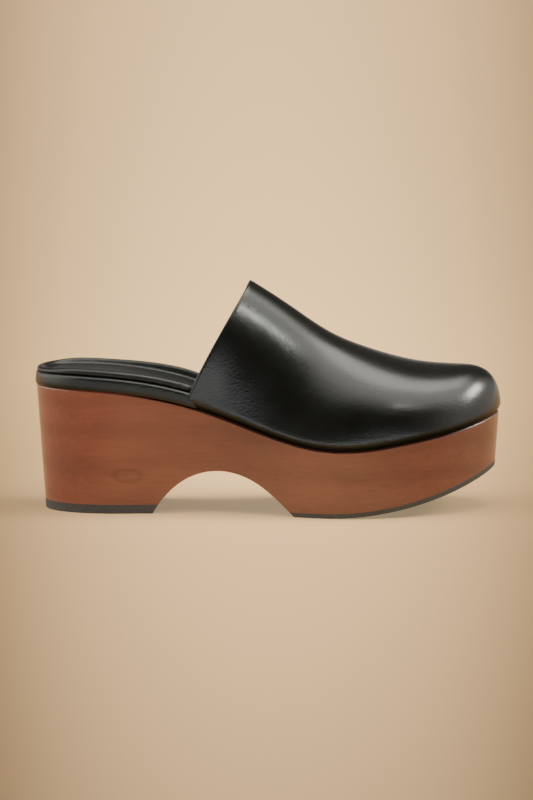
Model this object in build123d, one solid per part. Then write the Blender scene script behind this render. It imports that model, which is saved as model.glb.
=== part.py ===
from build123d import *
import math
import os
import numpy as np

# A right-foot slip-on clog: a one-piece wooden platform with an arched underside, rubber treads,
# a leather-wrapped insole with a padded sock, and a closed leather vamp.
# While it is built, X runs from the heel's back (0) to the toe, -Y is the outer side of the foot,
# +Z is up and the ground is Z = 0. The finished parts are then moved so that the origin is at the
# middle of the bounding box, on the ground. All sizes are in millimetres and degrees.

# ---- wooden platform and rubber ----
DRAFT = 3.75                 # outward lean of the block's sides, from the ground up
HEEL_RUBBER = 5.0            # thickness of the heel top piece
TREAD_RUBBER = 2.5           # thickness of the forepart outsole
ROCKER_START = 156.0         # where the forepart leaves the ground
ROCKER_RADIUS = 217.0        # radius of the rolling forepart
ROCKER_ANGLE = 33.0          # how far round that radius the forepart could roll
RIM_ROUND = 1.2              # rounding of the wood's upper rim
ARCH_MIDDLE = 100.6          # the arch's crown, between heel and forepart

GROOVE_WIDTH = 2.2
GROOVE_DEPTH = 0.9
GROOVE_MARGIN = 8.0          # grooves stop this far inside the tread's edge
TREAD_GROOVES = [162.0 + 6.5 * k for k in range(12)]
HEEL_GROOVES = [22.0, 38.0, 46.0]

# ---- insole and sock ----
LASTING = 1.2                # folded-under leather, below the insole board
BOARD = 4.0                  # insole board
WRAP = 1.0                   # leather round the insole's heel
WRAP_OVERHANG = 0.7          # the wrapped insole past the wood's rim, at the heel
WRAP_TUCK = 6.0              # the wrapped insole inside the wood's rim, under the vamp
BOARD_PLAY = 0.5             # between the insole board's edge and the vamp
WRAP_LAP = 14.0              # how far the wrap runs on under the vamp
FLANGE = 12.0                # width of leather folded over or under the insole board
SOCK_EDGE = 3.5              # the sock's edge inside the wood's rim, at the heel
SOCK_FORE = 6.5              # the same inside the upper
SOCK_ROLL = 6.0              # width of the raised roll round the sock
SOCK_COVER = 1.0             # leather of the sock
ROLL_HEIGHT = 4.4            # roll above the wrapped insole
PAD_HEIGHT = 2.4             # sock's middle above the wrapped insole

# ---- upper ----
UPPER_FLARE = -1.4           # the vamp's base inside the wood's rim, at its rear corners
UPPER_INSET = 0.8            # the same, ahead of them
VAMP_LEATHER = 1.6
INTERLINING = 0.6
LINING = 0.7
GLUE = 0.1                   # film between the upper's skins
FOLD = 1.4                   # vamp leather turned in at the topline
PUFF_START = 212.0           # where the stiff toe puff begins
UPPER_REAR = 66.0            # where the upper's form begins, behind the topline
UPPER_SECTIONS = 11
SECTION_POINTS = 11
UPPER_NOSE = 86.0            # how far round the toe the sections go
RIDGE_Y = 3.0                # the ridge stands a little to the inner side
SQUARE_REAR = 2.1            # squareness of the upper's arch, where 2 is an ellipse
SQUARE_TOE = 2.5

# ---- fasteners ----
SCREW_RADIUS = 1.6
SCREW_HEAD_RADIUS = 3.2
SCREW_HEAD = 1.6
SCREW_LENGTH = 22.0
SCREW_SINK = 1.0             # screw heads below the insole board's face
SCREW_SPOTS = [(20, 1), (42, -11), (42, 13), (150, -20), (150, 18), (205, 2)]
NAIL_RADIUS = 0.9
NAIL_HEAD_RADIUS = 2.2
NAIL_HEAD = 0.8
NAIL_LENGTH = 16.0
NAIL_SINK = 0.6              # nail heads above the rubber's face
NAIL_SPOTS = [(14, 1), (30, -17), (30, 18), (54, -19), (54, 19)]

# ---- reach of the cutting shapes ----
REACH = 70.0                 # half-width, wider than the shoe
RING_STEP = 25               # every which read point an upright prism's outline passes through
TALL = 170.0                 # height, taller than the shoe
WOOD_DEPTH = 80.0            # taller than the wood

# The block's outline on the ground plane, if its sides ran down to it: from the heel's back round
# the outer side, the toe and the inner side.
FOOTPRINT = [
    (4.5, 2), (11, -16.5), (27, -26.2), (52, -28), (88, -28.2), (126, -34.8), (166, -46.2),
    (204, -41.5), (230, -28.5), (246, -11.5), (252, 6), (247.5, 22), (234, 34), (212, 40.5),
    (185, 41.5), (150, 35.5), (118, 27), (88, 24.8), (52, 28), (27, 27.4), (11, 19.5),
]
# Side view of the footbed, (x, z): flat at the heel, down through the waist, up at the toe.
FOOTBED = [
    (-8, 68.9), (20, 68.6), (48, 66.7), (80, 60.8), (118, 47.9), (146, 39.3), (168, 37.2),
    (197, 40.3), (225, 45.3), (246, 50.5), (264, 57.4),
]
# Side view of the arch cut through the block, from the heel's breast to the forepart.
ARCH = [(64.5, 0), (72.6, 11.2), (84, 20), (100.6, 24), (116, 20.5), (129.4, 11.7), (141.6, 0)]
# Side view of the vamp's ridge, from behind the topline to the toe's face.
RIDGE = [
    (60, 158), (100, 136.5), (118.4, 125.2), (140, 111), (165, 95.2), (186, 87), (212, 80.6),
    (232, 78.8), (243.5, 77.2), (250.6, 73), (254, 66), (254.7, 58),
]
# Side view of the vamp's topline, from below the footbed up past the instep.
TOPLINE = [(80.5, 42), (84.9, 60), (91.5, 79), (104.8, 103.4), (118.6, 125.6), (136, 152)]


# ---- curves, and points read along them ----
def side_curve(points, rise=0.0):
    """A smooth line in the side view, raised by rise."""
    return Spline(*[(x, 0, z + rise) for x, z in points])


def read_curve(curve, first, second):
    """Points along a curve, and the unit directions there, in two of the axes."""
    steps = np.linspace(0, 1, 600)
    places = np.array([tuple(curve.position_at(u)) for u in steps])
    directions = np.array([tuple(curve.tangent_at(u)) for u in steps])
    axes = [first, second]
    return places[:, axes], directions[:, axes]


def moved_right(places, directions, distance):
    """Points of a curve moved square to it, to the right of its direction."""
    return places + np.stack([directions[:, 1], -directions[:, 0]], axis=1) * distance


footprint = Spline(*[(x, y, 0) for x, y in FOOTPRINT], periodic=True)
foot_places, foot_directions = read_curve(footprint, 0, 1)
bed_places, _ = read_curve(side_curve(FOOTBED), 0, 2)
ridge_places, ridge_directions = read_curve(side_curve(RIDGE), 0, 2)


def bed_z(x):
    """Height of the wood's upper surface."""
    return np.interp(x, bed_places[:, 0], bed_places[:, 1])


def rim(heel, fore):
    """Plan points inside the wood's rim: by heel behind the vamp, and by fore ahead of that."""
    x = foot_places[:, 0]
    blend = np.clip((x - 78) / 22, 0, 1)
    blend = blend * blend * (3 - 2 * blend)
    growth = bed_z(x) * math.tan(math.radians(DRAFT)) - heel - (fore - heel) * blend
    return moved_right(foot_places, foot_directions, growth[:, None])


# ---- cutting shapes ----
def across(face):
    """A side-view face, extended right across the shoe."""
    return extrude(face, amount=REACH, dir=(0, 1, 0), both=True)


def plan_face(points, z=-5):
    """A level face inside a closed ring of plan points."""
    ring = [(x, y, z) for x, y in points[:-1:RING_STEP]]
    return make_face(Spline(*ring, periodic=True))


def upright(face):
    """A plan face, extended to above the shoe."""
    return extrude(face, amount=TALL, dir=(0, 0, 1))


def rim_face(heel, fore):
    """The plan face inside the wood's rim, by heel behind the vamp and by fore ahead of that."""
    return plan_face(rim(heel, fore))


def bed_layer(low, high):
    """The side-view band between two heights above the wood's upper surface."""
    (x0, z0), (x1, z1) = FOOTBED[0], FOOTBED[-1]
    return make_face([
        side_curve(FOOTBED, low),
        Line((x1, 0, z1 + low), (x1, 0, z1 + high)),
        side_curve(FOOTBED, high),
        Line((x0, 0, z0 + high), (x0, 0, z0 + low)),
    ])


def tread_line(rise):
    """The forepart's underside in the side view, moved up square to itself, and its far end."""
    radius = ROCKER_RADIUS - rise
    start = (ROCKER_START, 0, rise)
    middle, end = [
        (ROCKER_START + radius * math.sin(turn), 0, ROCKER_RADIUS - radius * math.cos(turn))
        for turn in (math.radians(ROCKER_ANGLE / 2), math.radians(ROCKER_ANGLE))
    ]
    return [Line((ARCH_MIDDLE, 0, rise), start), ThreePointArc(start, middle, end)], end


def tread_layer(low, high):
    """The side-view band between two heights above the forepart's underside."""
    lower, lower_end = tread_line(low)
    upper, upper_end = tread_line(high)
    ends = [Line(lower_end, upper_end), Line((ARCH_MIDDLE, 0, low), (ARCH_MIDDLE, 0, high))]
    return make_face(lower + upper + ends)


def side_box(x0, x1, low, high):
    """A side-view rectangle."""
    return make_face(Polyline((x0, 0, low), (x1, 0, low), (x1, 0, high), (x0, 0, high), (x0, 0, low)))


def heel_layer(low, high):
    """The side-view band between two heights, behind the arch's crown."""
    return side_box(-20, ARCH_MIDDLE, low, high)


def behind_topline(shift):
    """The side view behind the vamp's topline, when that is moved towards the toe by shift."""
    (x0, z0), (x1, z1) = TOPLINE[0], TOPLINE[-1]
    back = -20
    return make_face([
        Spline(*[(x + shift, 0, z) for x, z in TOPLINE]),
        Line((x1 + shift, 0, z1), (x1 + shift, 0, TALL)),
        Line((x1 + shift, 0, TALL), (back, 0, TALL)),
        Line((back, 0, TALL), (back, 0, z0)),
        Line((back, 0, z0), (x0 + shift, 0, z0)),
    ])


def cut_all(shape, tools):
    """A shape with every tool cut away."""
    for tool in tools:
        shape = shape - tool
    return shape


# ---- fasteners ----
def rods(spots, radius, low, high):
    """One upright rod per spot, between two heights."""
    align = (Align.CENTER, Align.CENTER, Align.MIN)
    return [Pos(x, y, low) * Cylinder(radius, high - low, align=align) for x, y in spots]


def screw_face(x):
    """Height of a screw head's face, sunk below the insole board's."""
    return float(bed_z(x)) + LASTING + BOARD - SCREW_SINK


def insole_screws():
    """Countersunk wood screws that hold the insole board to the wood."""
    made = []
    for x, y in SCREW_SPOTS:
        under_head = screw_face(x) - SCREW_HEAD
        align = (Align.CENTER, Align.CENTER, Align.MIN)
        head = Pos(x, y, under_head) * Cone(SCREW_RADIUS, SCREW_HEAD_RADIUS, SCREW_HEAD, align=align)
        made += [head + rods([(x, y)], SCREW_RADIUS, under_head - SCREW_LENGTH, under_head)]
    return made


def screw_wells():
    """The space above each screw's head."""
    wells = []
    for x, y in SCREW_SPOTS:
        wells += rods([(x, y)], SCREW_HEAD_RADIUS, screw_face(x), screw_face(x) + 10)
    return wells


def heel_nails():
    """Nails driven up through the heel's rubber into the wood."""
    under_shank = NAIL_SINK + NAIL_HEAD
    heads = rods(NAIL_SPOTS, NAIL_HEAD_RADIUS, NAIL_SINK, under_shank)
    shanks = rods(NAIL_SPOTS, NAIL_RADIUS, under_shank, NAIL_SINK + NAIL_LENGTH)
    return [head + shank for head, shank in zip(heads, shanks)]


# ---- wooden platform and rubber ----
def block():
    """The platform's leaning sides, with the arch cut through, down to the ground."""
    growth = WOOD_DEPTH * math.tan(math.radians(DRAFT))
    top = moved_right(foot_places, foot_directions, growth)
    body = loft([plan_face(foot_places, 0), plan_face(top, WOOD_DEPTH)], ruled=True)
    (x0, z0), (x1, z1) = ARCH[0], ARCH[-1]
    return body - across(make_face([side_curve(ARCH), Line((x1, 0, z1), (x0, 0, z0))]))


def wooden_sole(body):
    """The wooden platform, with its upper rim rounded and its screw and nail holes."""
    side = bed_layer(-WOOD_DEPTH, 0) - heel_layer(-WOOD_DEPTH, HEEL_RUBBER)
    side = side - tread_layer(-WOOD_DEPTH, TREAD_RUBBER)
    wood = body & across(side)
    wood = fillet([edge for edge in wood.edges() if on_footbed(edge)], RIM_ROUND)
    return cut_all(wood, insole_screws() + heel_nails())


def on_footbed(edge):
    """Whether an edge of the wood lies along its upper rim."""
    places = [edge.position_at(u) for u in (0.1, 0.5, 0.9)]
    return all(abs(place.Z - bed_z(place.X)) < 0.3 for place in places)


def grooves(layer, spots):
    """Shallow grooves across a tread, closed at its edges."""
    bars = [side_box(x - GROOVE_WIDTH / 2, x + GROOVE_WIDTH / 2, -5, 50) & layer for x in spots]
    inner = upright(plan_face(moved_right(foot_places, foot_directions, -GROOVE_MARGIN)))
    return [across(bar) & inner for bar in bars]


def heel_top_piece(body):
    """The heel's rubber, with its grooves and nail holes."""
    dimples = rods(NAIL_SPOTS, NAIL_HEAD_RADIUS, -1, NAIL_SINK)
    cuts = heel_nails() + dimples + grooves(heel_layer(-1, GROOVE_DEPTH), HEEL_GROOVES)
    return cut_all(body & across(heel_layer(0, HEEL_RUBBER)), cuts)


def forepart_outsole(body):
    """The forepart's rubber, rolling up at the toe, with grooves across it."""
    rubber = body & across(tread_layer(0, TREAD_RUBBER))
    return cut_all(rubber, grooves(tread_layer(-1, GROOVE_DEPTH), TREAD_GROOVES))


# ---- insole and sock ----
def flange_edge():
    """The plan face inside the leathers folded over and under the insole board."""
    return rim_face(FLANGE - WRAP_OVERHANG, FLANGE + UPPER_INSET)


def bottom_filler():
    """Thin cork sheet between the folded-under leathers, with its screw holes."""
    return cut_all(upright(flange_edge()) & across(bed_layer(0, LASTING)), insole_screws())


def board_space():
    """The insole board before its screw holes."""
    outline = rim_face(WRAP - WRAP_OVERHANG, UPPER_INSET + VAMP_LEATHER + BOARD_PLAY)
    return upright(outline) & across(bed_layer(LASTING, LASTING + BOARD))


def insole_wrap():
    """Leather round the insole's heel: a band, with a flange under the board and one over it."""
    side = bed_layer(LASTING, LASTING + BOARD + WRAP) & behind_topline(WRAP_LAP)
    side = side + (bed_layer(0, LASTING) & behind_topline(0))
    ring = rim_face(-WRAP_OVERHANG, WRAP_TUCK) - flange_edge()
    return (upright(ring) & across(side)) - board_space()


def sock_levels():
    """Heights above the wood of the sock's edge, its roll and its padded middle."""
    edge = LASTING + BOARD + WRAP
    return edge, edge + ROLL_HEIGHT, edge + PAD_HEIGHT


def sock_shape(inward, down):
    """The sock's outer shape, moved inward at its sides and roll, and down at its top."""
    edge, roll, pad = sock_levels()
    whole = upright(rim_face(SOCK_EDGE + inward, SOCK_FORE + inward)) & across(bed_layer(edge, roll - down))
    inner = SOCK_ROLL + 2 * SOCK_COVER - inward
    middle = upright(rim_face(SOCK_EDGE + inner, SOCK_FORE + inner))
    return whole - (middle & across(bed_layer(pad - down, roll + 1)))


def sock_foam(upper_foam):
    """Foam under the sock: its raised roll and middle, and the fill inside the wrap's flange."""
    base = LASTING + BOARD
    fill = upright(flange_edge()) & across(bed_layer(base, base + WRAP))
    return upper_foam + fill


# ---- upper ----
def upper_form(depth):
    """The solid inside the vamp's outer face, moved inwards by depth, down past the footbed."""
    plan = rim(UPPER_FLARE + depth, UPPER_INSET + depth)
    ridge = moved_right(ridge_places, ridge_directions, depth)
    ridge = ridge[:np.argmax(ridge[:, 0])]
    toe_x, toe_y = plan[np.argmax(plan[:, 0])]
    axis_y = np.interp(plan[:, 0], [0, toe_x], [FOOTPRINT[0][1], toe_y])
    sides = [plan[plan[:, 1] < axis_y], plan[plan[:, 1] >= axis_y]]
    sides = [side[np.argsort(side[:, 0])] for side in sides]
    sections = []
    for turn in np.radians(np.linspace(0, UPPER_NOSE, UPPER_SECTIONS)):
        x = UPPER_REAR + (toe_x - UPPER_REAR) * math.sin(turn)
        edges_y = [float(np.interp(x, side[:, 0], side[:, 1])) for side in sides]
        low = float(bed_z(x)) - 3
        high = float(np.interp(x, ridge[:, 0], ridge[:, 1]))
        sections.append(upper_section(x, edges_y, low, high, math.sin(turn)))
    return loft(sections)


def upper_section(x, edges_y, low, high, toe_share):
    """A cross-section of the upper: a squared arch from side to side, over the ridge."""
    middle = sum(edges_y) / 2
    crown_y = RIDGE_Y + (middle - RIDGE_Y) * toe_share ** 8
    power = 2 / (SQUARE_REAR + (SQUARE_TOE - SQUARE_REAR) * toe_share ** 2)
    points = []
    for turn in np.linspace(0, math.pi, SECTION_POINTS):
        side = edges_y[0] if turn < math.pi / 2 else edges_y[1]
        across = abs(math.cos(turn)) ** power
        up = math.sin(turn) ** power
        points.append((x, crown_y + (side - crown_y) * across, low + (high - low) * up))
    points[-1] = (x, edges_y[1], low)
    arch = Edge.make_spline([Vector(*point) for point in points],
                            parameters=list(np.linspace(0, 1, SECTION_POINTS)))
    return make_face([arch, Line(points[-1], points[0])])


def upper_parts():
    """The vamp's leather, the layers behind it, and the fold and the margin that hold them."""
    depth = VAMP_LEATHER + GLUE
    outer, under_leather = upper_form(0), upper_form(VAMP_LEATHER)
    over_middle, under_middle = upper_form(depth), upper_form(depth + INTERLINING)
    depth += INTERLINING + GLUE
    over_lining, under_lining = upper_form(depth), upper_form(depth + LINING)

    over_bed = bed_layer(0, TALL / 2)
    over_wrap = bed_layer(LASTING + BOARD + WRAP, TALL / 2)
    ahead = over_bed - behind_topline(0)
    within = over_wrap - behind_topline(FOLD + GLUE)
    turned = (over_wrap & behind_topline(FOLD)) - behind_topline(0)
    toe = side_box(PUFF_START, PUFF_START + 80, 0, TALL)

    ring = rim_face(UPPER_FLARE, UPPER_INSET) - flange_edge()
    margin = upright(ring) & across(bed_layer(0, LASTING) - behind_topline(0))
    vamp = ((outer - under_leather) & across(ahead)) + margin
    fold = (under_leather - under_lining) & across(turned)
    middle = over_middle - under_middle
    return {
        "vamp_outer": vamp + fold,
        "toe_puff": middle & across(within & toe),
        "vamp_interlining": middle & across(within - toe),
        "vamp_lining": (over_lining - under_lining) & across(within),
    }


def main():
    os.makedirs("parts", exist_ok=True)
    body = block()
    upper_foam = sock_shape(SOCK_COVER, SOCK_COVER)
    parts = {
        "wooden_sole": wooden_sole(body),
        "heel_top_piece": heel_top_piece(body),
        "forepart_outsole": forepart_outsole(body),
        "heel_nails": Compound(heel_nails()),
        "insole_screws": Compound(insole_screws()),
        "bottom_filler": bottom_filler(),
        "insole_board": cut_all(board_space(), insole_screws() + screw_wells()),
        "insole_wrap": insole_wrap(),
        "sock_foam": sock_foam(upper_foam),
        "sock_cover": sock_shape(0, 0) - upper_foam,
    }
    parts.update(upper_parts())
    whole = Compound(list(parts.values())).bounding_box()
    centre = whole.center()
    print("box", whole.size, "centre", centre)
    for name, shape in parts.items():
        export_step(Pos(-centre.X, -centre.Y, -whole.min.Z) * shape, f"parts/{name}.step")


main()
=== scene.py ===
import math

import bmesh
import bpy
import numpy as np
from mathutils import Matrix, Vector


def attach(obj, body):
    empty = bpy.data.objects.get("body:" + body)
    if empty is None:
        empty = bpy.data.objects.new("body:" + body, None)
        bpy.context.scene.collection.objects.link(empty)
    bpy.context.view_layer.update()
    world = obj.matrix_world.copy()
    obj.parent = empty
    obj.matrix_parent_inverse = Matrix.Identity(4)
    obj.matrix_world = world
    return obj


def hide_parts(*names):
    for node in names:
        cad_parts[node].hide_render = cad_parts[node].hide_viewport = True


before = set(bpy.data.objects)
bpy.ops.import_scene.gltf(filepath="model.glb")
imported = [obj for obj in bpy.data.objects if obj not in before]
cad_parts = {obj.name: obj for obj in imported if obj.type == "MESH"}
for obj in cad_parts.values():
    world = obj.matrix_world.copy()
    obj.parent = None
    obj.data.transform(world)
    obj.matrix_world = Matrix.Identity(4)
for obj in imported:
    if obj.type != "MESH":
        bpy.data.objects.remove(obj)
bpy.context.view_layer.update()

# The clog's curves are in the millimetres of its own build frame: X from the heel's back to the toe,
# -Y the outer side of the foot, Z up from the ground. to_frame() turns them into the CAD frame.
HEEL_BACK = (127.27, -2.38)       # the CAD frame's origin, from the heel's back
DRAFT = math.radians(3.75)        # outward lean of the wooden block's sides

FOOTPRINT = [
    (4.5, 2), (11, -16.5), (27, -26.2), (52, -28), (88, -28.2), (126, -34.8), (166, -46.2),
    (204, -41.5), (230, -28.5), (246, -11.5), (252, 6), (247.5, 22), (234, 34), (212, 40.5),
    (185, 41.5), (150, 35.5), (118, 27), (88, 24.8), (52, 28), (27, 27.4), (11, 19.5),
]
FOOTBED = [
    (-8, 68.9), (20, 68.6), (48, 66.7), (80, 60.8), (118, 47.9), (146, 39.3), (168, 37.2),
    (197, 40.3), (225, 45.3), (246, 50.5), (264, 57.4),
]
RIDGE = [
    (90, 142), (104, 133.5), (118.4, 125.2), (140, 111), (165, 95.0), (186, 86.6), (212, 80.0),
    (232, 78.1), (250, 77.9),
]
TOPLINE_BASE = 82.9               # where the vamp's topline meets the wood, on the outer side
TOPLINE_INNER = 93.0              # the same on the inner side
TOPLINE_PEAK = 118.5              # where it crosses the ridge
TOE_CROWN = 233.0                 # where the ridge ends and the toe's dome begins
RIDGE_Y = 3.0
TOE_Y = 6.0


# ---- curves ----
def smooth_line(points, closed=False, count=1200):
    """A natural or closed cubic spline through points, read at many places."""
    p = np.array(points, float)
    if closed:
        p = np.vstack([p[-4:], p, p[:5]])
    t = np.concatenate([[0], np.cumsum(np.linalg.norm(np.diff(p, axis=0), axis=1))])
    h = np.diff(t)
    n = len(t)
    a = np.eye(n)
    b = np.zeros((n, p.shape[1]))
    for i in range(1, n - 1):
        a[i, i - 1:i + 2] = h[i - 1], 2 * (h[i - 1] + h[i]), h[i]
        b[i] = 6 * ((p[i + 1] - p[i]) / h[i] - (p[i] - p[i - 1]) / h[i - 1])
    m = np.linalg.solve(a, b)
    first, last = (t[4], t[-5]) if closed else (t[0], t[-1])
    s = np.linspace(first, last, count)
    i = np.clip(np.searchsorted(t, s, side="right") - 1, 0, n - 2)
    u, v, hi = (t[i + 1] - s)[:, None], (s - t[i])[:, None], h[i][:, None]
    return ((m[i] * u ** 3 + m[i + 1] * v ** 3) / (6 * hi)
            + (p[i] / hi - m[i] * hi / 6) * u + (p[i + 1] / hi - m[i + 1] * hi / 6) * v)


FOOT = smooth_line(FOOTPRINT, closed=True)
FOOT_TURN = np.gradient(FOOT, axis=0)
FOOT_TURN /= np.linalg.norm(FOOT_TURN, axis=1)[:, None]
FOOT_OUT = np.stack([FOOT_TURN[:, 1], -FOOT_TURN[:, 0]], axis=1)
BED = smooth_line(FOOTBED)
CROWN = smooth_line(RIDGE)


def bed_z(x):
    """Height of the wood's upper surface."""
    return np.interp(x, BED[:, 0], BED[:, 1])


def crown_z(x):
    """Height of the vamp's ridge."""
    return np.interp(x, CROWN[:, 0], CROWN[:, 1])


def ease(x, low, high):
    """0 before low, 1 after high, smooth between."""
    t = np.clip((x - low) / (high - low), 0, 1)
    return t * t * (3 - 2 * t)


def rim(heel, fore):
    """Plan points inside the wood's rim, by heel behind the vamp and by fore ahead of that."""
    x = FOOT[:, 0]
    inset = heel + (fore - heel) * ease(x, 78, 100)
    return FOOT + FOOT_OUT * (bed_z(x) * math.tan(DRAFT) - inset)[:, None]


def spaced(points, count):
    """Points at even spacing along a line."""
    along = np.concatenate([[0], np.cumsum(np.linalg.norm(np.diff(points, axis=0), axis=1))])
    want = np.linspace(0, along[-1], count)
    return np.stack([np.interp(want, along, points[:, k]) for k in range(points.shape[1])], axis=1)


def rim_run(ring, outer_x, inner_x, count):
    """Even points of a ring from outer_x on the outer side, round the toe, to inner_x on the inner side."""
    ahead = np.roll(ring, -np.argmin(ring[:, 0]), axis=0)
    tip = np.argmax(ahead[:, 0])
    start = np.argmax(ahead[:, 0] >= outer_x)
    end = tip + np.argmax(ahead[tip:, 0] < inner_x)
    return spaced(ahead[start:end], count)


def to_frame(points):
    """Build-frame millimetres to the CAD frame's metres."""
    p = np.array(points, float)
    return (p - np.array([HEEL_BACK[0], HEEL_BACK[1], 0.0])) / 1000.0


# ---- meshes ----
def add_mesh(name, verts, faces, material):
    """A mesh object from build-frame points."""
    data = bpy.data.meshes.new(name)
    data.from_pydata([tuple(v) for v in to_frame(verts)], [], [tuple(int(i) for i in f) for f in faces])
    data.validate()
    data.update()
    obj = bpy.data.objects.new(name, data)
    bpy.context.scene.collection.objects.link(obj)
    data.materials.append(material)
    for polygon in data.polygons:
        polygon.use_smooth = True
    return obj


def grid_faces(rows, columns, offset=0, wrap=False):
    """Quads of a grid whose points are stored row by row."""
    faces = []
    last = columns if wrap else columns - 1
    for r in range(rows - 1):
        for c in range(last):
            a, b = offset + r * columns + c, offset + r * columns + (c + 1) % columns
            faces.append((a, b, b + columns, a + columns))
    return faces


def vertex_normals(verts, faces):
    """Unit normals at the points of a mesh of triangles and quads."""
    normals = np.zeros_like(verts)
    for f in faces:
        a, b, c = verts[f[0]], verts[f[1]], verts[f[2]]
        d = verts[f[3]] if len(f) > 3 else c
        n = np.cross(c - a, d - b) if len(f) > 3 else np.cross(b - a, c - a)
        for i in f:
            normals[i] += n
    return normals / np.maximum(np.linalg.norm(normals, axis=1), 1e-9)[:, None]


def subdivide(obj, levels):
    """Apply a subdivision surface to an object."""
    modifier = obj.modifiers.new("subdivision", "SUBSURF")
    modifier.levels = levels
    modifier.render_levels = levels
    bpy.context.view_layer.objects.active = obj
    with bpy.context.temp_override(object=obj, active_object=obj):
        bpy.ops.object.modifier_apply(modifier=modifier.name)


# ---- the vamp ----
UPPER_COLUMNS = 181               # round the base, outer side to inner side
UPPER_ROWS = 34                   # base to ridge
UPPER_EDGE = 0.0                  # the widest line of the vamp inside the wood's rim
UPPER_FLARE = -1.2                # the same at its rear corners
UPPER_TOE = -1.5                  # the same round the toe
UPPER_FOOT = 0.1                  # its foot above the wood
UPPER_TUCK = 1.3                  # how far its foot tucks in under its widest line
TUCK_HEIGHT = 1.4                 # height of that tuck
UPPER_LEAN = 1.4                  # how far its wall leans in above
LEAN_HEIGHT = 8.0                 # height over which it comes in that far
SQUARE_REAR = 2.3                 # squareness of its arch, where 2 is an ellipse
SQUARE_BALL = 2.25
SQUARE_TOE = 2.8
SPINE_END = 0.86                  # share of the way to the toe's tip where the ridge ends
SPINE_EASE = 1.35                 # above 1, the ridge's places close up towards its end
UPPER_WAVE = 0.35                 # how far its surface wanders in and out
UPPER_DEPTHS = (0.0, 1.9)         # from its outer face to the leather's two sides
LINING_DEPTHS = (1.95, 3.0)       # and to the lining's
EDGE_STEPS = 4                    # steps round a skin's rounded edge
TOPLINE_BOW = 1.2                 # above 1, the topline bows forward over the foot


def upper_column(x, y, s):
    """The vamp's outer face from its foot at (x, y) up to its ridge.

    s is the column's place round the shoe, from 0 at the topline to 1 at the toe's tip.
    """
    run = 1 - (1 - min(s / SPINE_END, 1)) ** SPINE_EASE
    spine_x = TOPLINE_PEAK + (TOE_CROWN - TOPLINE_PEAK) * run
    spine_y = RIDGE_Y + (TOE_Y - RIDGE_Y) * ease(spine_x, 170, TOE_CROWN)
    low, high = float(bed_z(x)) + UPPER_FOOT, float(crown_z(spine_x))
    square = SQUARE_REAR + (SQUARE_BALL - SQUARE_REAR) * ease(s, 0.0, 0.45)
    square += (SQUARE_TOE - SQUARE_BALL) * ease(s, 0.75, 1.0)
    turn = np.linspace(0, math.pi / 2, 240)
    across = np.cos(turn) ** (2 / square)
    across[-1] = 0.0
    up = np.sin(turn) ** (2 / square)
    toe = ease(s, 0.5, 0.8)
    forward = (1 - toe) * up ** TOPLINE_BOW + toe * (1 - across)
    rise = (high - low) * up
    tuck = UPPER_TUCK * np.exp(-(rise / TUCK_HEIGHT) ** 2) + UPPER_LEAN * (1 - np.exp(-rise / LEAN_HEIGHT))
    pull = 1 - tuck / max(math.hypot(x - spine_x, y - spine_y), 1.0)
    line = np.stack([
        spine_x + (x - spine_x) * (1 - forward) * pull,
        spine_y + (y - spine_y) * across * pull,
        low + rise], axis=1)
    return spaced(line, UPPER_ROWS)


def upper_grid():
    """The vamp's outer face: rows from its foot to its ridge, columns round the shoe."""
    edge = UPPER_EDGE + (UPPER_TOE - UPPER_EDGE) * ease(FOOT[:, 0], 196, 236)
    base = rim_run(rim(UPPER_FLARE, edge), TOPLINE_BASE, TOPLINE_INNER, UPPER_COLUMNS)
    middle = UPPER_COLUMNS // 2
    share = 1 - np.abs(np.arange(UPPER_COLUMNS) - middle) / middle
    columns = [upper_column(*place, s) for place, s in zip(base, share)]
    return np.array(columns).transpose(1, 0, 2)


def upper_skin():
    """Points and faces of the vamp's outer face, its two sides joined along the ridge."""
    grid = upper_grid()
    rows, columns = grid.shape[:2]
    middle = columns // 2
    verts = list(grid[:-1].reshape(-1, 3))
    ridge_index = {}
    for c in range(middle + 1):
        ridge_index[c] = ridge_index[columns - 1 - c] = len(verts)
        verts.append((grid[-1, c] + grid[-1, columns - 1 - c]) / 2)
    faces = grid_faces(rows - 1, columns)
    base = (rows - 2) * columns
    for c in range(columns - 1):
        a, b = base + c, base + c + 1
        faces.append((a, b, ridge_index[c + 1], ridge_index[c]))
    return np.array(verts), faces


def waviness(points, amount):
    """A slow, fixed undulation, as leather takes over a last."""
    x, y, z = points[:, 0], points[:, 1], points[:, 2]
    wave = (np.sin(x / 19 + 1.3) * np.cos(y / 15 + 0.4) + np.sin(z / 13 + y / 22 + 0.9)
            + 0.6 * np.sin(x / 9.5 - z / 12 + 2.1))
    return amount * wave / 2.6


def boundary_loop(faces):
    """The outline of an open mesh, as points in order."""
    seen = {}
    for f in faces:
        for a, b in zip(f, f[1:] + f[:1]):
            seen[(a, b)] = True
    step = {a: b for a, b in seen if (b, a) not in seen}
    start = min(step)
    loop = [start]
    while step[loop[-1]] != start:
        loop.append(step[loop[-1]])
    return loop


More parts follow.
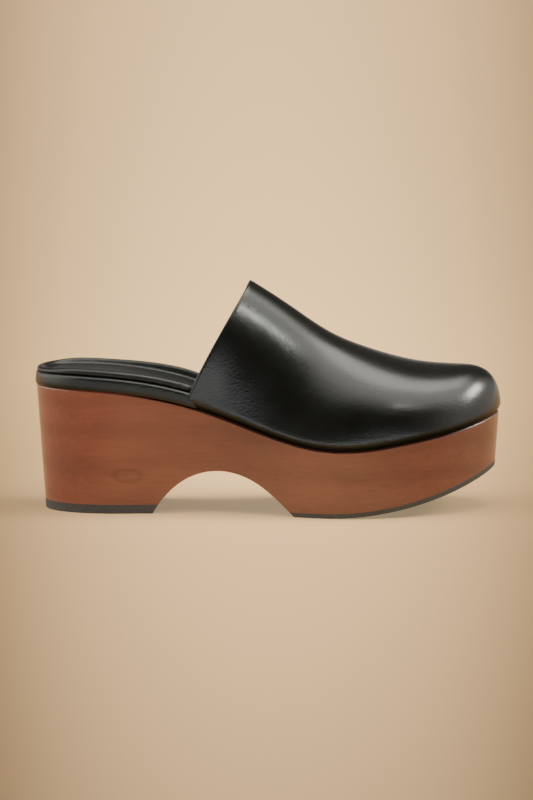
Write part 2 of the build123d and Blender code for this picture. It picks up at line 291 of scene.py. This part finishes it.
def thick_skin(name, verts, faces, near, far, material):
    """A closed skin between two depths under an open face, with a rounded edge all round."""
    faces = [tuple(f) for f in faces]
    normals = vertex_normals(verts, faces)
    outer = verts - normals * near
    inner = verts - normals * far
    loop = boundary_loop(faces)
    ring = verts[loop]
    along = np.roll(ring, -1, axis=0) - np.roll(ring, 1, axis=0)
    along /= np.maximum(np.linalg.norm(along, axis=1), 1e-9)[:, None]
    outward = np.cross(along, normals[loop])
    outward /= np.maximum(np.linalg.norm(outward, axis=1), 1e-9)[:, None]
    count = len(verts)
    points = [outer, inner]
    for k in range(1, EDGE_STEPS):
        turn = math.pi * k / EDGE_STEPS
        depth = near + (far - near) * (1 - math.cos(turn)) / 2
        push = (far - near) / 2 * math.sin(turn)
        points.append(ring - normals[loop] * depth + outward * push)
    all_faces = list(faces) + [tuple(count + i for i in reversed(f)) for f in faces]
    rings = [np.array(loop)]
    rings += [2 * count + (k - 1) * len(loop) + np.arange(len(loop)) for k in range(1, EDGE_STEPS)]
    rings.append(count + np.array(loop))
    for first, second in zip(rings, rings[1:]):
        for i in range(len(loop)):
            j = (i + 1) % len(loop)
            all_faces.append((first[j], first[i], second[i], second[j]))
    return add_mesh(name, np.vstack(points), all_faces, material)


def make_vamp(leather, lining):
    """The leather upper with its turned edge, and its lining."""
    verts, faces = upper_skin()
    normals = vertex_normals(verts, faces)
    verts = verts + normals * waviness(verts, UPPER_WAVE)[:, None]
    vamp = thick_skin("vamp", verts, faces, *UPPER_DEPTHS, leather)
    subdivide(vamp, 1)
    inner = thick_skin("vamp_inside", verts, faces, *LINING_DEPTHS, lining)
    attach(vamp, "root")
    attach(inner, "root")
    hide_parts("vamp_outer", "vamp_interlining", "toe_puff")
    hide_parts("vamp_lining")


# ---- the insole's band and the sock ----
BAND_END = 105.0                  # the band runs on under the vamp to here
BAND_TUCK = 6.2                   # how far it draws in on the way
BAND_COLUMNS = 150                # places round the heel
BAND_POINTS = 56                  # points round its section
BAND_PROFILE = [
    (-11.5, 0.05), (-1.2, 0.05), (-0.1, -0.25), (0.45, -0.1), (0.72, 0.7), (0.68, 2.2), (0.54, 3.8),
    (0.38, 5.4), (0.2, 6.4), (-0.2, 7.05), (-0.9, 7.3), (-1.9, 7.3), (-3.0, 7.1), (-11.5, 7.0),
    (-11.5, 5.2), (-1.5, 5.2), (-0.4, 4.2), (-0.4, 2.0), (-1.5, 1.2), (-11.5, 1.2),
]                                 # (past the wood's rim, above the wood)


def heel_run(start_x, count):
    """Even places round the heel, from start_x on one side to the other, with outward directions."""
    ring = FOOT + FOOT_OUT * (bed_z(FOOT[:, 0]) * math.tan(DRAFT))[:, None]
    both = np.hstack([ring, FOOT_OUT])
    both = np.roll(both, -np.argmax(both[:, 0]), axis=0)
    both = both[both[:, 0] <= start_x]
    return spaced(both, count)


def make_band(leather):
    """The leather round the insole's edge, swept round the heel."""
    run = heel_run(BAND_END, BAND_COLUMNS)
    start = np.where(run[:, 1] > 0, TOPLINE_INNER, TOPLINE_BASE)
    tuck = BAND_TUCK * ease(run[:, 0], start, BAND_END)
    profile = smooth_ring(BAND_PROFILE, BAND_POINTS)
    verts = []
    for (x, y, ox, oy), inset in zip(run, tuck):
        low = float(bed_z(x))
        for out, up in profile:
            verts.append((x + ox * (out - inset), y + oy * (out - inset), low + up))
    size = len(profile)
    faces = []
    for k in range(BAND_COLUMNS - 1):
        for i in range(size):
            j = (i + 1) % size
            a, b = k * size + i, k * size + j
            faces.append((b, a, a + size, b + size))
    faces.append(tuple(range(size)))
    faces.append(tuple(reversed(range((BAND_COLUMNS - 1) * size, BAND_COLUMNS * size))))
    band = add_mesh("insole_band", verts, faces, leather)
    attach(band, "root")
    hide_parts("insole_wrap")


def smooth_ring(points, count):
    """A closed outline with its corners softened, at even spacing."""
    p = np.array(points, float)
    for _ in range(2):
        q = np.roll(p, -1, axis=0)
        p = np.stack([0.75 * p + 0.25 * q, 0.25 * p + 0.75 * q], axis=1).reshape(-1, 2)
    return spaced(np.vstack([p, p[:1]]), count + 1)[:-1]


SOCK_INSET = 3.0                  # the sock's edge inside the wood's rim, along the heel's sides
SOCK_BACK = 0.2                   # the same at the heel's back
SOCK_FORE = 6.8                   # the same under the vamp
SOCK_ROUND = 220                  # points round the sock
SOCK_PROFILE = [
    (3.0, 7.0), (1.3, 7.05), (0.4, 7.5), (0.0, 8.4), (0.15, 9.5), (0.8, 10.5), (1.8, 11.0),
    (2.8, 11.0), (3.6, 10.5), (4.2, 9.6), (4.7, 8.7), (5.5, 8.15), (6.6, 8.1), (8.4, 8.35), (11.5, 8.7),
]                                 # (inside the sock's edge, above the wood)
SOCK_FLOOR = 7.0                  # the sock's underside, above the wood
SOCK_ROLL = 4.0                   # height of its roll above that
SOCK_MIDDLE = 8.9                 # top of the sock's soft middle, above the wood
SOCK_SPINE = (34.0, 222.0)        # ends of the line that the sock's rings close on
SOCK_SPINE_Y = 1.5


def sock_profile():
    """The sock's edge in section, smoothed, from under it over its roll to its soft middle."""
    return spaced(smooth_line(SOCK_PROFILE, count=400), 40)


def sock_rise(place):
    """How much higher the sock stands at the waist, most on the inner side, and lower at the back."""
    inner = np.clip(place[:, 1] / 28, 0, 1)
    waist = (0.4 + 2.4 * inner) * ease(place[:, 0], 35, 92)
    return waist - 1.5 * (1 - ease(place[:, 0], 2, 24))


def sock_lines():
    """The sock's edge in plan, and where each of its points meets the line the rings close on."""
    heel = SOCK_BACK + (SOCK_INSET - SOCK_BACK) * ease(FOOT[:, 0], 4, 26)
    edge = rim(heel, SOCK_FORE)
    edge = spaced(np.vstack([edge, edge[:1]]), SOCK_ROUND + 1)[:-1]
    spine_x = np.clip(edge[:, 0], *SOCK_SPINE)
    return edge, np.stack([spine_x, np.full_like(spine_x, SOCK_SPINE_Y)], axis=1)


def sock_rings():
    """Rings of points over the sock's top, from its edge to its middle, and back out under it."""
    edge, spine = sock_lines()
    reach = np.linalg.norm(edge - spine, axis=1)

    def ring(share, height):
        place = edge + (spine - edge) * share[:, None]
        lift = sock_rise(place) * (height - SOCK_FLOOR) / SOCK_ROLL
        return np.column_stack([place, bed_z(place[:, 0]) + height + lift])

    top = [ring(np.minimum(depth / reach, 1.0), height) for depth, height in sock_profile()]
    last_depth, last_height = SOCK_PROFILE[-1]
    for part in np.linspace(0.08, 1, 14):
        height = last_height + (SOCK_MIDDLE - last_height) * math.sin(part * math.pi / 2)
        top.append(ring(last_depth / reach + (1 - last_depth / reach) * part, height))
    start = SOCK_PROFILE[0][0] / reach
    under = [ring(start + (1 - start) * part, SOCK_FLOOR) for part in np.linspace(1, 0.1, 10)]
    return top, under


def make_sock(leather):
    """The padded sock: a rolled edge, a groove and a soft middle."""
    top, under = sock_rings()
    points = np.array(top + under)
    faces = grid_faces(len(top), SOCK_ROUND, wrap=True)
    faces += grid_faces(len(under), SOCK_ROUND, offset=len(top) * SOCK_ROUND, wrap=True)
    last = (len(points) - 1) * SOCK_ROUND
    for c in range(SOCK_ROUND):
        d = (c + 1) % SOCK_ROUND
        faces.append((last + c, last + d, d, c))
    sock = add_mesh("sock", points.reshape(-1, 3), faces, leather)
    weld(sock, 0.00005)
    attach(sock, "root")
    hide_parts("sock_cover", "sock_foam")


def weld(obj, distance):
    """Merge points that lie together, and drop faces with no area."""
    mesh = bmesh.new()
    mesh.from_mesh(obj.data)
    bmesh.ops.remove_doubles(mesh, verts=mesh.verts, dist=distance)
    bmesh.ops.dissolve_degenerate(mesh, edges=mesh.edges, dist=1e-6)
    bmesh.ops.recalc_face_normals(mesh, faces=mesh.faces)
    mesh.to_mesh(obj.data)
    mesh.free()


# ---- materials ----
WOOD_DARK = (0.100, 0.0300, 0.0180)
WOOD_LIGHT = (0.165, 0.0550, 0.0330)
WOOD_HEEL = (1.70, 1.55, 1.50)    # paler on the heel, by this much
WOOD_RIM_SHADE = (0.10, 0.08, 0.07)     # and darker along the rim under the vamp, by this much: painted shade of the gap there
WOOD_ENDS = (-0.13, 0.13)         # just past the wood's two ends, along X in the CAD frame
RUBBER_DARK = (0.027, 0.029, 0.030)
RUBBER_LIGHT = (0.048, 0.051, 0.053)
KNOT = (-0.0770, 0.0205)          # a knot in the outer side of the heel, (x, z) in the CAD frame
KNOT_SPACING = (0.0150, 0.0066)   # from one of its rings to the next, along and up
KNOT_WARP = 0.005                 # how far the noise moves its rings on average


class Nodes:
    """A node tree, with short calls for adding and joining nodes."""

    def __init__(self, tree):
        self.tree = tree
        self.coords = self.add("ShaderNodeTexCoord")

    def add(self, kind, **values):
        """A new node, with settings or inputs given by name."""
        node = self.tree.nodes.new(kind)
        for key, value in values.items():
            if hasattr(node, key):
                setattr(node, key, value)
            else:
                node.inputs[key].default_value = value
        return node

    def join(self, a, out, b, into):
        """Link a's output to b's input, and give b."""
        self.tree.links.new(a.outputs[out], b.inputs[into])
        return b

    def place(self, scale):
        """Object coordinates, scaled along each axis."""
        mapping = self.add("ShaderNodeMapping")
        mapping.inputs["Scale"].default_value = scale
        return self.join(self.coords, "Object", mapping, "Vector")

    def axes(self, space="Object"):
        """Coordinates as separate X, Y and Z."""
        return self.join(self.coords, space, self.add("ShaderNodeSeparateXYZ"), "Vector")

    def noise(self, scale, detail=4.0, roughness=0.55, stretch=(1, 1, 1)):
        """Noise in object coordinates, slower along an axis whose stretch is under 1."""
        node = self.add("ShaderNodeTexNoise")
        node.inputs["Scale"].default_value = scale
        node.inputs["Detail"].default_value = detail
        node.inputs["Roughness"].default_value = roughness
        return self.join(self.place(stretch), "Vector", node, "Vector")

    def ramp(self, source, out, stops):
        """Colours along a value, from (position, colour) stops."""
        node = self.add("ShaderNodeValToRGB")
        elements = node.color_ramp.elements
        while len(elements) < len(stops):
            elements.new(0.5)
        for element, (position, colour) in zip(elements, stops):
            element.position = position
            element.color = (*colour, 1)
        return self.join(source, out, node, "Fac")

    def values(self, source, out, low, high, from_low=0.0, from_high=1.0):
        """A value mapped from one range to another, and held at its ends."""
        node = self.add("ShaderNodeMapRange")
        node.inputs["From Min"].default_value = from_low
        node.inputs["From Max"].default_value = from_high
        node.inputs["To Min"].default_value = low
        node.inputs["To Max"].default_value = high
        return self.join(source, out, node, "Value")

    def math(self, operation, a, b):
        """Arithmetic on two numbers or (node, output) pairs, which gives such a pair."""
        node = self.add("ShaderNodeMath", operation=operation)
        for socket, value in enumerate((a, b)):
            if isinstance(value, tuple):
                self.tree.links.new(value[0].outputs[value[1]], node.inputs[socket])
            else:
                node.inputs[socket].default_value = value
        return node, "Value"

    def mix(self, kind, factor, a, b):
        """A mix of two colours or (node, output) pairs, which gives such a pair."""
        node = self.add("ShaderNodeMix")
        node.data_type = "RGBA"
        node.blend_type = kind
        if isinstance(factor, tuple):
            self.tree.links.new(factor[0].outputs[factor[1]], node.inputs[0])
        else:
            node.inputs[0].default_value = factor
        for socket, value in ((6, a), (7, b)):
            if isinstance(value, tuple) and hasattr(value[0], "outputs"):
                self.tree.links.new(value[0].outputs[value[1]], node.inputs[socket])
            else:
                node.inputs[socket].default_value = (*value, 1)
        return node, 2


class MaterialNodes(Nodes):
    """A new material's node tree, with its surface shader."""

    def __init__(self, name):
        self.material = bpy.data.materials.new(name)
        self.material.use_nodes = True
        tree = self.material.node_tree
        tree.nodes.clear()
        super().__init__(tree)
        self.shader = self.add("ShaderNodeBsdfPrincipled")
        self.join(self.shader, "BSDF", self.add("ShaderNodeOutputMaterial"), "Surface")

    def bump(self, layers):
        """Bump from several (node, output, strength, distance) layers, one on another."""
        last = None
        for node, out, strength, distance in layers:
            bump = self.add("ShaderNodeBump")
            bump.inputs["Strength"].default_value = strength
            bump.inputs["Distance"].default_value = distance
            self.join(node, out, bump, "Height")
            if last is not None:
                self.join(last, "Normal", bump, "Normal")
            last = bump
        self.join(last, "Normal", self.shader, "Normal")

    def colour(self, source, into):
        """Link a (node, output) pair to one of the shader's inputs."""
        self.tree.links.new(source[0].outputs[source[1]], self.shader.inputs[into])

    def set(self, **values):
        """Give the shader's inputs, named with _ for a space."""
        for key, value in values.items():
            self.shader.inputs[key.replace("_", " ")].default_value = value


def leather_material(name, colour, roughness, pore_size=0.0011, pore_depth=0.00008, coat=0.0, foot=False):
    """Smooth finished leather: fine pores, faint creases and uneven gloss; if asked, painted shade along
    the foot, where its gloss is dulled.
    """
    n = MaterialNodes(name)
    tone = n.noise(28, 3)
    dark = tuple(c * 0.8 for c in colour)
    light = tuple(c * 1.25 for c in colour)
    shade = n.ramp(tone, "Fac", [(0.3, dark), (0.75, light)])
    n.join(shade, "Color", n.shader, "Base Color")
    gloss = n.noise(60, 5, 0.6)
    spread = n.values(gloss, "Fac", roughness - 0.02, roughness + 0.03, 0.3, 0.7)
    n.join(spread, "Result", n.shader, "Roughness")
    pores = n.add("ShaderNodeTexVoronoi")
    pores.inputs["Scale"].default_value = 1 / pore_size
    n.join(n.place((1, 1, 1)), "Vector", pores, "Vector")
    creases = n.noise(300, 3, 0.5)
    n.bump([(creases, "Fac", 0.3, 0.00012), (pores, "Distance", 0.65, pore_depth)])
    n.set(Specular_IOR_Level=0.5, Coat_Weight=coat, Coat_Roughness=0.16)
    n.set(Specular_Tint=(0.88, 0.96, 0.97, 1.0))
    if foot:
        # painted shade: the foot's gloss and coat are dulled, so that it reads dark
        under = leather_foot_shade(n)
        n.join(n.values(under, "Result", 0.5, 0.08), "Result", n.shader, "Specular IOR Level")
        n.join(n.values(under, "Result", coat, 0.0), "Result", n.shader, "Coat Weight")
    return n.material


def wood_rings(n, warp):
    """Long wavering bands, as where a plank cuts the tree's rings."""
    place = n.mix("ADD", 0.035, (n.place((1, 1, 1)), "Vector"), (warp, "Color"))
    rings = n.add("ShaderNodeTexWave", wave_type="BANDS", bands_direction="Z")
    rings.inputs["Scale"].default_value = 16
    rings.inputs["Distortion"].default_value = 3
    rings.inputs["Detail"].default_value = 2
    rings.inputs["Detail Scale"].default_value = 0.6
    squeeze = n.add("ShaderNodeMapping")
    squeeze.inputs["Scale"].default_value = (0.25, 0.8, 1.0)
    n.join(place[0], place[1], squeeze, "Vector")
    return n.join(squeeze, "Vector", rings, "Vector")


def wood_colour(n, warp, rings, fibres):
    """The wood's tone: clouds, figure, rings, fibres and a knot, paler on the heel."""
    clouds = n.noise(16, 3, 0.5, (0.6, 1, 1))
    figure = n.noise(55, 4, 0.6, (0.4, 1, 1))
    base = n.ramp(clouds, "Fac", [(0.28, WOOD_DARK), (0.75, WOOD_LIGHT)])
    mottle = n.ramp(figure, "Fac", [(0.35, (0.84, 0.80, 0.80)), (0.6, (1, 1, 1))])
    grain = n.ramp(rings, "Fac", [(0.0, (0.80, 0.74, 0.72)), (0.7, (1, 1, 1))])
    fine = n.ramp(fibres, "Fac", [(0.3, (0.76, 0.70, 0.68)), (0.62, (1.04, 1.03, 1.02))])
    mixed = n.mix("MULTIPLY", 0.6, (base, "Color"), (grain, "Color"))
    mixed = n.mix("MULTIPLY", 0.8, mixed, (mottle, "Color"))
    mixed = n.mix("MULTIPLY", 0.6, mixed, (fine, "Color"))
    mixed = n.mix("MULTIPLY", (wood_knot(n, warp), "Value"), mixed, (0.72, 0.64, 0.62))
    length = n.values(n.axes(), "X", 0.0, 1.0, *WOOD_ENDS)
    paler = n.ramp(length, "Result", [(0.0, WOOD_HEEL), (0.12, WOOD_HEEL), (0.5, (1, 1, 1))])
    return n.mix("MULTIPLY", 1.0, mixed, (paler, "Color"))


def wood_material():
    """Stained and lacquered wood: long fine grain, faint figure, and painted shade along its upper rim
    under the vamp.
    """
    n = MaterialNodes("stained_wood")
    warp = n.noise(7, 3, 0.5, (0.6, 1.0, 1.5))
    rings = wood_rings(n, warp)
    fibres = n.noise(620, 4, 0.6, (0.07, 1, 1))
    rim_shade = wood_rim_shade(n)
    # painted shade along the rim under the vamp: the tone goes nearly black there, and its gloss and coat
    # are taken away
    stain_and_rim_shade = n.mix("MULTIPLY", (rim_shade, "Result"), wood_colour(n, warp, rings, fibres), WOOD_RIM_SHADE)
    n.colour(stain_and_rim_shade, "Base Color")
    rough = n.values(fibres, "Fac", 0.34, 0.44, 0.3, 0.7)
    n.join(rough, "Result", n.shader, "Roughness")
    shine = n.values(rim_shade, "Result", 0.5, 0.05)
    n.join(shine, "Result", n.shader, "Specular IOR Level")
    coat = n.values(rim_shade, "Result", 0.6, 0.0)
    n.join(coat, "Result", n.shader, "Coat Weight")
    n.bump([(fibres, "Fac", 0.08, 0.0002), (rings, "Fac", 0.03, 0.0004)])
    n.set(Coat_Roughness=0.14)
    return n.material


def wood_knot(n, warp):
    """Thin dark rings round a small oval knot, fading away from it."""
    shift = n.add("ShaderNodeVectorMath", operation="SUBTRACT")
    n.join(n.coords, "Object", shift, 0)
    shift.inputs[1].default_value = (KNOT[0], 0, KNOT[1])
    crooked = n.noise(140, 2, 0.5, (0.5, 1, 1))
    bent = n.mix("ADD", 0.004, (shift, "Vector"), (warp, "Color"))
    place = n.mix("ADD", 0.006, bent, (crooked, "Color"))
    axes = n.add("ShaderNodeSeparateXYZ")
    n.join(place[0], place[1], axes, "Vector")
    wide = n.math("DIVIDE", n.math("SUBTRACT", (axes, "X"), KNOT_WARP), KNOT_SPACING[0])
    tall = n.math("DIVIDE", n.math("SUBTRACT", (axes, "Z"), KNOT_WARP), KNOT_SPACING[1])
    far = n.math("ADD", n.math("MULTIPLY", wide, wide), n.math("MULTIPLY", tall, tall))
    distance = n.math("SQRT", far, 0.0)
    ring = n.math("PINGPONG", distance, 0.5)
    line = n.values(ring[0], "Value", 0.0, 1.0, 0.30, 0.5)
    fade = n.values(distance[0], "Value", 1.0, 0.0, 0.5, 1.7)
    heart = n.values(distance[0], "Value", 0.35, 0.0, 0.38, 0.5)
    outer = n.values(axes, "Y", 1.0, 0.0, -0.01, 0.0)
    marked = n.math("MULTIPLY", (line, "Result"), (fade, "Result"))
    marked = n.math("MAXIMUM", marked, (heart, "Result"))
    return n.math("MULTIPLY", marked, (outer, "Result"))[0]


def below_bed(n):
    """The place as separate axes, and how far it is below the wood's upper edge."""
    place = n.axes()
    low, high = WOOD_ENDS
    along = n.values(place, "X", 0.0, 1.0, low, high)
    stops = []
    for x in np.linspace(low, high, 26):
        height = float(bed_z(x * 1000 + HEEL_BACK[0])) / 100
        stops.append(((x - low) / (high - low), (height, height, height)))
    bed = n.ramp(along, "Result", stops)
    tall = n.math("MULTIPLY", (bed, "Color"), 0.1)
    return place, n.math("SUBTRACT", tall, (place, "Z"))


def leather_foot_shade(n):
    """1 along the vamp's foot, else 0: painted shade, where the leather's gloss is dulled so that its turn
    under reads dark.
    """
    depth = below_bed(n)[1]
    return n.values(depth[0], "Value", 0.0, 1.0, -0.0032, -0.0014)


def wood_rim_shade(n):
    """1 along the wood's upper rim ahead of the heel, else 0: painted shade, nearly black, of the gap under
    the vamp's foot. 1 along the wood's upper rim ahead of the heel, else 0: nearly black, for the photo's
    dark line.
    """
    place, depth = below_bed(n)
    line = n.values(depth[0], "Value", 1.0, 0.0, 0.0009, 0.0015)
    rear = n.values(place, "X", 0.0, 1.0, -0.085, -0.06)
    fore = n.values(place, "X", 1.0, 0.0, 0.095, 0.126)
    there = n.math("MULTIPLY", (rear, "Result"), (fore, "Result"))
    marked = n.math("MULTIPLY", there, (line, "Result"))
    return n.values(*marked, 0.0, 1.0)


def rubber_material():
    """Dark matte tread rubber with a fine moulded texture."""
    n = MaterialNodes("tread_rubber")
    speck = n.noise(700, 4)
    shade = n.ramp(speck, "Fac", [(0.3, RUBBER_DARK), (0.75, RUBBER_LIGHT)])
    n.join(shade, "Color", n.shader, "Base Color")
    cloud = n.noise(40, 3)
    rough = n.values(cloud, "Fac", 0.55, 0.72)
    n.join(rough, "Result", n.shader, "Roughness")
    n.bump([(speck, "Fac", 0.3, 0.00015)])
    return n.material


def plain_material(name, dark, light, scale, roughness, metallic=0.0):
    """A hidden or small part's finish: two tones of grain."""
    n = MaterialNodes(name)
    speck = n.noise(scale, 5)
    shade = n.ramp(speck, "Fac", [(0.3, dark), (0.7, light)])
    n.join(shade, "Color", n.shader, "Base Color")
    n.bump([(speck, "Fac", 0.3, 0.0002)])
    n.set(Roughness=roughness, Metallic=metallic)
    return n.material


def give(node, material):
    """Put a material on a CAD node."""
    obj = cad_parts[node]
    obj.data.materials.clear()
    obj.data.materials.append(material)


# ---- camera, floor and light ----
FLOOR_ROWS = [
    (0.03, (0.90, 0.61, 0.28)), (0.25, (0.99, 0.685, 0.315)), (0.42, (0.98, 0.675, 0.31)),
    (0.60, (0.67, 0.455, 0.22)), (0.90, (0.42, 0.29, 0.145)),
]                                 # (1 / distance from the camera, tone), from the horizon to the near edge; the darker near rows are painted shade, a falloff of light
FLOOR_NEAR = 1.15                 # its sides run straight within this distance of the camera
FLOOR_SPREAD = 0.08124            # half the width of its paler middle, over the distance
FLOOR_SIDE_SHADE = (0.47, 0.46, 0.45)  # how much darker its sides are: painted shade, a falloff of light
FLOOR_LIT = (0.76, 0.68, 0.60)    # share of its tone that the lights bring out
FLOOR_GLOW = (0.46, 0.53, 0.68)   # share that it gives off itself as painted light, which lightens its shadows
CAMERA_PLACE = (126.7, -1814.35, 297.8)
CAMERA_TARGET = (126.7, 0, 58.92)
CAMERA_LENS = 149.2
CAMERA_REACH = 1.81               # metres from the camera to the clog


def make_camera():
    """A long lens a little above the clog, square to its outer side."""
    data = bpy.data.cameras.new("camera")
    data.sensor_width = 36
    data.sensor_fit = "AUTO"
    data.lens = CAMERA_LENS
    data.clip_end = 100
    camera = bpy.data.objects.new("camera", data)
    bpy.context.scene.collection.objects.link(camera)
    target = Vector(to_frame([CAMERA_TARGET])[0])
    camera.location = Vector(to_frame([CAMERA_PLACE])[0])
    camera.rotation_euler = (target - camera.location).to_track_quat("-Z", "Y").to_euler()
    bpy.context.scene.camera = camera


def make_floor():
    """A pale floor that goes on to the horizon, with painted light: paler behind the clog, darker at its
    sides and near edge.

    Its tone is fixed in place, but set out for the camera above, by row and from side to side, as in the
    photo's background. From elsewhere it shows as a broad pale strip.
    """
    n = MaterialNodes("floor")
    place = n.axes()
    depth = n.math("ADD", (place, "Y"), CAMERA_REACH)
    sideways = n.math("DIVIDE", (place, "X"), n.math("MAXIMUM", depth, FLOOR_NEAR))
    aside = n.math("MULTIPLY", sideways, sideways)
    near = n.math("DIVIDE", 1.0, depth)
    edge = n.values(*aside, 0.0, 1.0, 0.0, FLOOR_SPREAD ** 2)
    row = n.ramp(near[0], "Value", FLOOR_ROWS)
    # painted shade: the floor's sides darkened, as a falloff of light
    shaded_tone = n.mix("MULTIPLY", (edge, "Result"), (row, "Color"), FLOOR_SIDE_SHADE)
    lit = n.mix("MULTIPLY", 1.0, shaded_tone, FLOOR_LIT)
    # painted light: the floor glows with a share of its own tone, so its shadows are paler
    glow = n.mix("MULTIPLY", 1.0, shaded_tone, FLOOR_GLOW)
    n.colour(lit, "Base Color")
    n.colour(glow, "Emission Color")
    n.set(Roughness=0.85, Specular_IOR_Level=0.1, Emission_Strength=1.0)
    data = bpy.data.meshes.new("floor")
    size = 40
    corners = [(-size, -size, 0), (size, -size, 0), (size, size, 0), (-size, size, 0)]
    data.from_pydata(corners, [], [(0, 1, 2, 3)])
    floor = bpy.data.objects.new("floor", data)
    bpy.context.scene.collection.objects.link(floor)
    data.materials.append(n.material)


def area_light(name, place, target, size, power, colour=(1.0, 0.93, 0.84)):
    """A rectangular light at a place, turned to a target."""
    data = bpy.data.lights.new(name, "AREA")
    data.shape = "RECTANGLE"
    data.size, data.size_y = size
    data.energy = power
    data.color = colour
    light = bpy.data.objects.new(name, data)
    light.location = place
    light.rotation_euler = (Vector(target) - Vector(place)).to_track_quat("-Z", "Y").to_euler()
    bpy.context.scene.collection.objects.link(light)
    return light


WORLD_ARC = [
    (0.0, 0.05), (0.04, 0.03), (0.075, 0.006), (0.26, 0.006), (0.32, 0.3), (0.39, 0.62), (0.56, 0.62),
    (0.63, 0.12), (0.71, 0.02), (0.93, 0.02), (0.965, 0.12), (1.0, 0.18),
]                                 # brightness from the front horizon, over the top, to the rear one
WORLD_TONE = (1.0, 0.93, 0.84)
WORLD_STRENGTH = 6.0


def make_world():
    """Soft studio light: a broad bright band overhead, dark in front, mid behind and at the sides."""
    world = bpy.data.worlds.new("world")
    bpy.context.scene.world = world
    world.use_nodes = True
    back = world.node_tree.nodes["Background"]
    n = Nodes(world.node_tree)
    axes = n.axes("Generated")
    front = n.math("MULTIPLY", (axes, "Y"), -1.0)
    arc = n.math("ARCTAN2", (axes, "Z"), front)
    turned = n.math("DIVIDE", arc, math.pi)
    band = n.ramp(turned[0], "Value", [(place, (v, v, v)) for place, v in WORLD_ARC])
    aside = n.math("ABSOLUTE", (axes, "X"), 0.0)
    side = n.values(aside[0], "Value", 0.0, 1.0, 0.55, 0.95)
    ends = n.values(axes, "X", 0.5, 0.2, -1.0, 1.0)
    toned = n.mix("MIX", (side, "Result"), (band, "Color"), (ends, "Result"))
    tinted = n.mix("MULTIPLY", 1.0, toned, WORLD_TONE)
    n.join(tinted[0], tinted[1], back, "Color")
    back.inputs["Strength"].default_value = WORLD_STRENGTH


def make_light():
    """The world's band, and lights for the highlights on the instep, the toe and the front."""
    make_world()
    area_light("overhead", (0.42, 0.18, 1.5), (0.03, 0, 0.08), (0.7, 0.7), 6)
    place, target = (0.193, -0.263, 0.426), (-0.011, -0.022, 0.103)
    instep = area_light("instep_light", place, target, (0.13, 0.13), 0.0135)
    instep.data.spread = math.radians(12)
    area_light("toe_light", (1.25, 0.04, 0.86), (0.1, 0, 0.06), (0.5, 0.4), 17)
    place, cool = (-0.1, -1.5, 0.13), (0.93, 0.97, 1.0)
    fill = area_light("front_fill", place, (0, 0, 0.06), (2.6, 0.26), 5.0, cool)
    fill.visible_camera = False


def main():
    """Materials for the pieces carried over from CAD, then the soft pieces, the stage and the light."""
    leather = leather_material("upper_leather", (0.0022, 0.0024, 0.0013), 0.25, coat=0.15, foot=True)
    band = leather_material("band_leather", (0.003, 0.0031, 0.0022), 0.32)
    sock = leather_material("sock_leather", (0.0035, 0.0035, 0.0026), 0.36, 0.0013, 0.0001)
    lining = leather_material("lining_leather", (0.02, 0.018, 0.017), 0.6, 0.0013, 0.0001)
    wood = wood_material()
    rubber = rubber_material()
    steel = plain_material("steel", (0.4, 0.4, 0.41), (0.6, 0.6, 0.61), 300, 0.35, 1.0)
    cork = plain_material("cork", (0.22, 0.12, 0.06), (0.48, 0.30, 0.16), 500, 0.9)
    board = plain_material("fibre_board", (0.30, 0.22, 0.13), (0.42, 0.33, 0.21), 700, 0.85)
    give("wooden_sole", wood)
    give("heel_top_piece", rubber)
    give("forepart_outsole", rubber)
    give("heel_nails", steel)
    give("insole_screws", steel)
    give("bottom_filler", cork)
    give("insole_board", board)
    make_vamp(leather, lining)
    make_band(band)
    make_sock(sock)
    make_floor()
    make_camera()
    make_light()


main()
